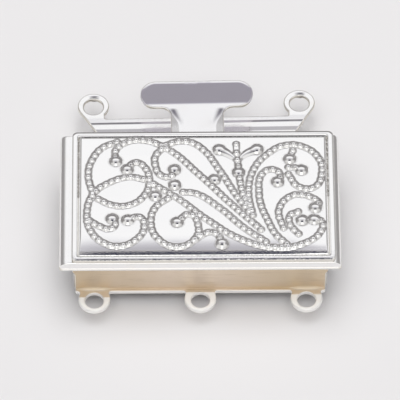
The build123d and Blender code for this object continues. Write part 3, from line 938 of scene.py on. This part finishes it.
def buildTongue():
    t = tongue
    radius, ringX, ringY, leaf, edge = t["ringDiameter"] / 2, t["ringX"], t["ringY"], t["leafHalf"], t["edge"]
    foldEnd = t["foldY"] - (t["foldRadius"] - t["thickness"]) * pi
    touch = atan2(t["edgeHalf"] - leaf, edge - t["flareFrom"])  # the flare runs on to touch the ring
    side = asin(t["neckHalf"] / radius)
    neckTop = ringY - radius * cos(side)

    def neckEnd(x, way):
        # from the ring down the side of its neck to the strip's edge, way is -1 for the left side
        return filleted([(x, neckTop + 0.3, 0), (x, edge, t["neckFillet"]), (x + way, edge, 0)])[1:-1]

    right = filleted([(leaf, 8, 0), (leaf, t["flareFrom"], 0.5), (t["edgeHalf"], edge, 0)])[1:]
    right += arc((ringX, ringY), radius, -touch, pi + pi / 2 - side) + neckEnd(ringX - t["neckHalf"], -1)
    left = [(-x, y) for x, y in reversed(right)]
    middle = neckEnd(t["neckHalf"], 1)[::-1] + arc((0, ringY), radius, -pi / 2 + side, 3 * pi / 2 - side)
    middle += neckEnd(-t["neckHalf"], -1)
    start = filleted([(-leaf, foldEnd, 0.18), (leaf, foldEnd, 0.18), (leaf, 8, 0), (-leaf, 8, 0)])[:-2]
    holes = ringHoles([(i * ringX, ringY + t["holeShift"]) for i in (-1, 0, 1)], t["holeDiameter"])
    rows = places(np.linspace(foldEnd, t["foldY"], 15), np.arange(t["foldY"], t["flareFrom"], 0.7),
                  np.arange(t["flareFrom"], edge, 0.05), np.arange(edge, ringY + 0.6, 0.2),
                  np.arange(ringY + 0.6, ringY + 1.6, 0.04))
    columns = places(np.arange(-12.0, 12.0, 0.6),
                     *[np.arange(i * ringX - 1.6, i * ringX + 1.7, 0.12) for i in (-1, 0, 1)])
    piece = sheetPiece("tongue_strip", start + right + middle + left, holes, tongueFace, t, brightPlate,
                       rows, columns)
    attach(piece, "tongue")
    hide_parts("tongue")
    print("tongue made")


buildTongue()


# Latch leaf with its channelled stem and the thumb tab, one sheet

latch = {
    "start": -5.90, "startZ": 2.1, "halfWidth": 8.9, "catchY": 7.2, "top": 4.4,
    "stemHalf": 2.725, "stemFrom": 7.6, "stemEnd": 12.13, "stemFillet": 1.0,
    "bendY": 12.58, "tilt": 10.5, "padFar": 15.25, "padHalf": 5.7,
    # the stem's sides are folded down towards the case
    "flankBend": 0.25, "flankTilt": 20.0, "flankWide": 0.92,
    "flankFades": 12.15, "flankFull": 9.6, "flankStops": 8.1,
    "tabFrom": 12.54, "shadeAt": 0.25, "shadeWide": 0.33,  # the shade's distance from the folded side
    "farRoll": 0.45, "farRollWide": 0.45,
    "thickness": 0.4, "edgeRadius": 0.16, "turns": 5, "spacing": 0.4, "clear": 0.05,
}


def flankShare(s):
    # how wide the folded sides are, 0 at the tab and 1 at the case, and 0 again inside it
    l = latch
    fade = ease((l["flankFades"] - s) / (l["flankFades"] - l["flankFull"]))
    return fade * ease((s - l["flankStops"]) / 0.5 + 1)


def flankAngle(s):
    opened = ease((latch["flankFades"] + 0.1 - s) / 0.9) * (s > latch["flankStops"] - 0.5)
    return radians(latch["flankTilt"]) * opened


def flankFold(s):
    return latch["stemHalf"] - latch["flankWide"] * flankShare(s)


def padMargin(x, s):
    # distance into the margin that is rolled down along the tab's far side
    radius = (latch["padFar"] - latch["stemEnd"]) / 2
    along = np.clip(np.abs(x) - latch["padHalf"] + radius, 0, None)
    up = s - latch["stemEnd"] - radius
    reach = np.hypot(along, up)
    share = ease(up / np.maximum(reach, 1e-6) * 1.3 - 0.25)
    return share * np.clip(reach - radius + latch["farRollWide"], 0, None)


def latchFace(x, s):
    l = latch
    slope = (l["top"] - l["startZ"]) / (l["catchY"] - l["start"])
    z = l["startZ"] + slope * (s - l["start"]) - slope * ramp(s - l["catchY"], 0.6)
    z = z + tan(radians(l["tilt"])) * ramp(s - l["bendY"], 0.12) - l["farRoll"] * padMargin(x, s) ** 2
    fold, most = flankFold(s), flankAngle(s)
    over = np.clip(np.abs(x) - fold, 0, None)
    angle = np.minimum(over / l["flankBend"], most)
    straight = over - angle * l["flankBend"]
    side = np.abs(x) - over + l["flankBend"] * np.sin(angle) + straight * np.cos(angle)
    z = z - l["flankBend"] * (1 - np.cos(angle)) - straight * np.sin(angle)
    return yawed(np.column_stack((np.sign(x) * side, s, z)))


def tabMark(x, s, depth):
    # painted shade over the thumb tab
    return ease((s - latch["tabFrom"]) / 0.22 + 0.5) * ease(1.6 - padMargin(x, s) / 0.07)


def shadeMark(x, s, depth):
    off = np.abs(x) - flankFold(s) + latch["shadeAt"]
    off = off / latch["shadeWide"] * (1 + ease((11.6 - s) / 1.8))
    return np.exp(-off ** 2) * ease((s - 9.6) / 2.0) * ease((12.1 - s) / 0.35) * (depth < 0.1)


def stemEdge(s):
    # half-width of the flat pattern, so that the folded stem keeps its width
    s = np.array(float(s))
    wide, most, bend = latch["flankWide"] * float(flankShare(s)), float(flankAngle(s)), latch["flankBend"]
    if wide <= bend * sin(most):
        return latch["stemHalf"] - wide + bend * asin(wide / bend)
    return latch["stemHalf"] - wide + bend * most + (wide - bend * sin(most)) / max(cos(most), 0.1)


def buildLatch():
    l, f = latch, latch["stemFillet"]
    wide, stem, catch, begin = l["halfWidth"], l["stemHalf"], l["catchY"], l["stemFrom"]
    r = (l["padFar"] - l["stemEnd"]) / 2
    outline = filleted([(wide, l["start"], 0.2), (wide, catch, 0.5), (stem, catch, 0.15), (stem, begin, 0),
                        (0, 0, 0)])[:-2]
    outline += [(stemEdge(s), s) for s in np.arange(begin, l["stemEnd"] - f + 0.01, 0.12)]
    outline += arc((stem + f, l["stemEnd"] - f), f, pi, pi / 2, 0.08)
    outline += arc((l["padHalf"] - r, l["stemEnd"] + r), r, -pi / 2, pi / 2)
    outline += [(-x, y) for x, y in reversed(outline)]
    rows = places(np.arange(l["start"], 6.4, 0.8), np.arange(6.4, begin, 0.2),
                  np.arange(begin, l["padFar"] - 0.4, 0.08), np.arange(l["padFar"] - 0.4, l["padFar"], 0.05))
    flank, pad = np.linspace(1.6, 3.7, 43), np.arange(3.9, 5.7, 0.12)
    columns = places(np.arange(-9.0, 9.0, 0.7), flank, -flank, pad, -pad)
    piece = sheetPiece("latch_tab", outline, [], latchFace, l, brushedPlate, rows, columns,
                       {"tab": tabMark, "shade": shadeMark})
    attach(piece, "latch")
    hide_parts("latch_leaf")
    print("latch and thumb tab made")


buildLatch()


# Floor, light and camera

studio = {
    "distance": 0.565, "lens": 503.9, "elevation": 52.6, "azimuth": -0.42, "aim": (0.05, 3.63, 0.0),
    "floorColour": (0.765, 0.752, 0.758), "floorZ": -1.2, "floorHalf": 700.0,
    "overhead": 2.0, "backdrop": (0.83, 0.815, 0.825),
    "sideColour": (0.33, 0.32, 0.32), "besideColour": (0.85, 0.845, 0.84),
    "keyPower": 1.15, "keySize": 0.42, "keyDistance": 0.8, "keyElevation": 64.0, "keyAzimuth": 176.0,
}
# What the metal reflects, by the angle from the far horizon over the top to the near horizon, in degrees
surround = [
    (0, (0.22, 0.21, 0.21)), (30, (0.27, 0.26, 0.265)), (36, (0.42, 0.41, 0.415)), (43, (0.98, 0.975, 0.98)),
    (52, (1.0, 1.0, 1.01)), (58, (0.93, 0.93, 0.95)), (65, (0.62, 0.61, 0.65)), (70, (0.50, 0.49, 0.53)),
    (78, (0.45, 0.43, 0.42)), (82, (0.14, 0.14, 0.18)), (84, (0.01, 0.016, 0.05)), (97, (0.01, 0.014, 0.035)),
    (103, (0.9, 0.9, 0.89)), (113, (1.6, 1.59, 1.57)), (126, (1.6, 1.59, 1.57)), (140, (1.4, 1.39, 1.37)),
    (158, (1.2, 1.19, 1.17)), (180, (0.72, 0.71, 0.70)),
]


def buildWorld():
    world = bpy.data.worlds.new("studio")
    world.use_nodes = True
    bpy.context.scene.world = world
    t = Tree(world.node_tree)
    x = t.split(t.add("ShaderNodeTexCoord", output="Generated"))
    y, z, across = x.other("Y"), x.other("Z"), t.maths("ABSOLUTE", x)
    seen = t.add("ShaderNodeValToRGB", {}, {"Fac": t.maths("ARCTAN2", z.atLeast(0.0), y) / pi})
    stops = seen.socket.node.color_ramp.elements
    while len(stops) < len(surround):
        stops.new(1)
    for stop, (angle, colour) in zip(stops, surround):
        stop.position, stop.color = angle / 180, (*colour, 1)
    beside = across.between(0.12, 0.32) * (1 - y.between(0.25, 0.45))
    seen = t.mixColour(beside, seen, studio["besideColour"])
    seen = t.mixColour(across.between(0.4, 0.65) * y.between(-0.15, 0.2), seen, studio["sideColour"])

    def background(colour, strength=1.0):
        return t.add("ShaderNodeBackground", {}, {"Color": colour, "Strength": strength})

    def instead(ray, first, second):
        share = t.add("ShaderNodeLightPath", output=ray)
        return t.add("ShaderNodeMixShader", {}, {0: share, 1: first, 2: second})

    # matte surfaces are lit from overhead only, so that the shadow stays close to the clasp
    overhead = background((1, 1, 1, 1), z.between(0.5, 0.95) * studio["overhead"])
    lit = instead("Is Diffuse Ray", background(seen), overhead)
    whole = instead("Is Camera Ray", lit, background((*studio["backdrop"], 1)))
    t.add("ShaderNodeOutputWorld", {}, {"Surface": whole})


def setUp(name, data, azimuth, elevation, distance, aim=(0, 0, 0)):
    # stands at a distance, in metres, from the point that it faces, in millimetres
    a, e = radians(azimuth), radians(elevation)
    away = Vector((sin(a) * cos(e), -cos(a) * cos(e), sin(e)))
    thing = addObject(name, data)
    thing.location = Vector(aim) * mm + away * distance
    thing.rotation_euler = away.to_track_quat("Z", "Y").to_euler()
    return thing


def buildStage():
    s = studio
    material, tree = startMaterial("paleFloor")
    colour = tree.mixColour(noise(tree, 0.01, 1.0), s["floorColour"], [c * 0.97 for c in s["floorColour"]])
    shader = tree.add("ShaderNodeBsdfPrincipled", {}, {"Base Color": colour, "Roughness": 0.9})
    tree.add("ShaderNodeOutputMaterial", {}, {"Surface": shader})
    half = s["floorHalf"]
    corners = [(x * half, y * half, s["floorZ"]) for x, y in ((-1, -1), (1, -1), (1, 1), (-1, 1))]
    floor = newPiece("floor", corners, [(0, 1, 2, 3)], material)
    key = bpy.data.lights.new("key", "AREA")
    key.shape, key.size, key.energy = "DISK", s["keySize"], s["keyPower"]
    lamp = setUp("key", key, s["keyAzimuth"], s["keyElevation"], s["keyDistance"])
    lamp.visible_glossy = False
    view = bpy.data.cameras.new("camera")
    view.lens, view.sensor_width = s["lens"], 36.0
    view.clip_start, view.clip_end = 0.01, 10.0
    camera = setUp("camera", view, s["azimuth"], s["elevation"], s["distance"], s["aim"])
    bpy.context.scene.camera = camera
    bpy.context.scene.view_settings.view_transform = "Standard"


buildWorld()
buildStage()
print("stage, light and camera set")
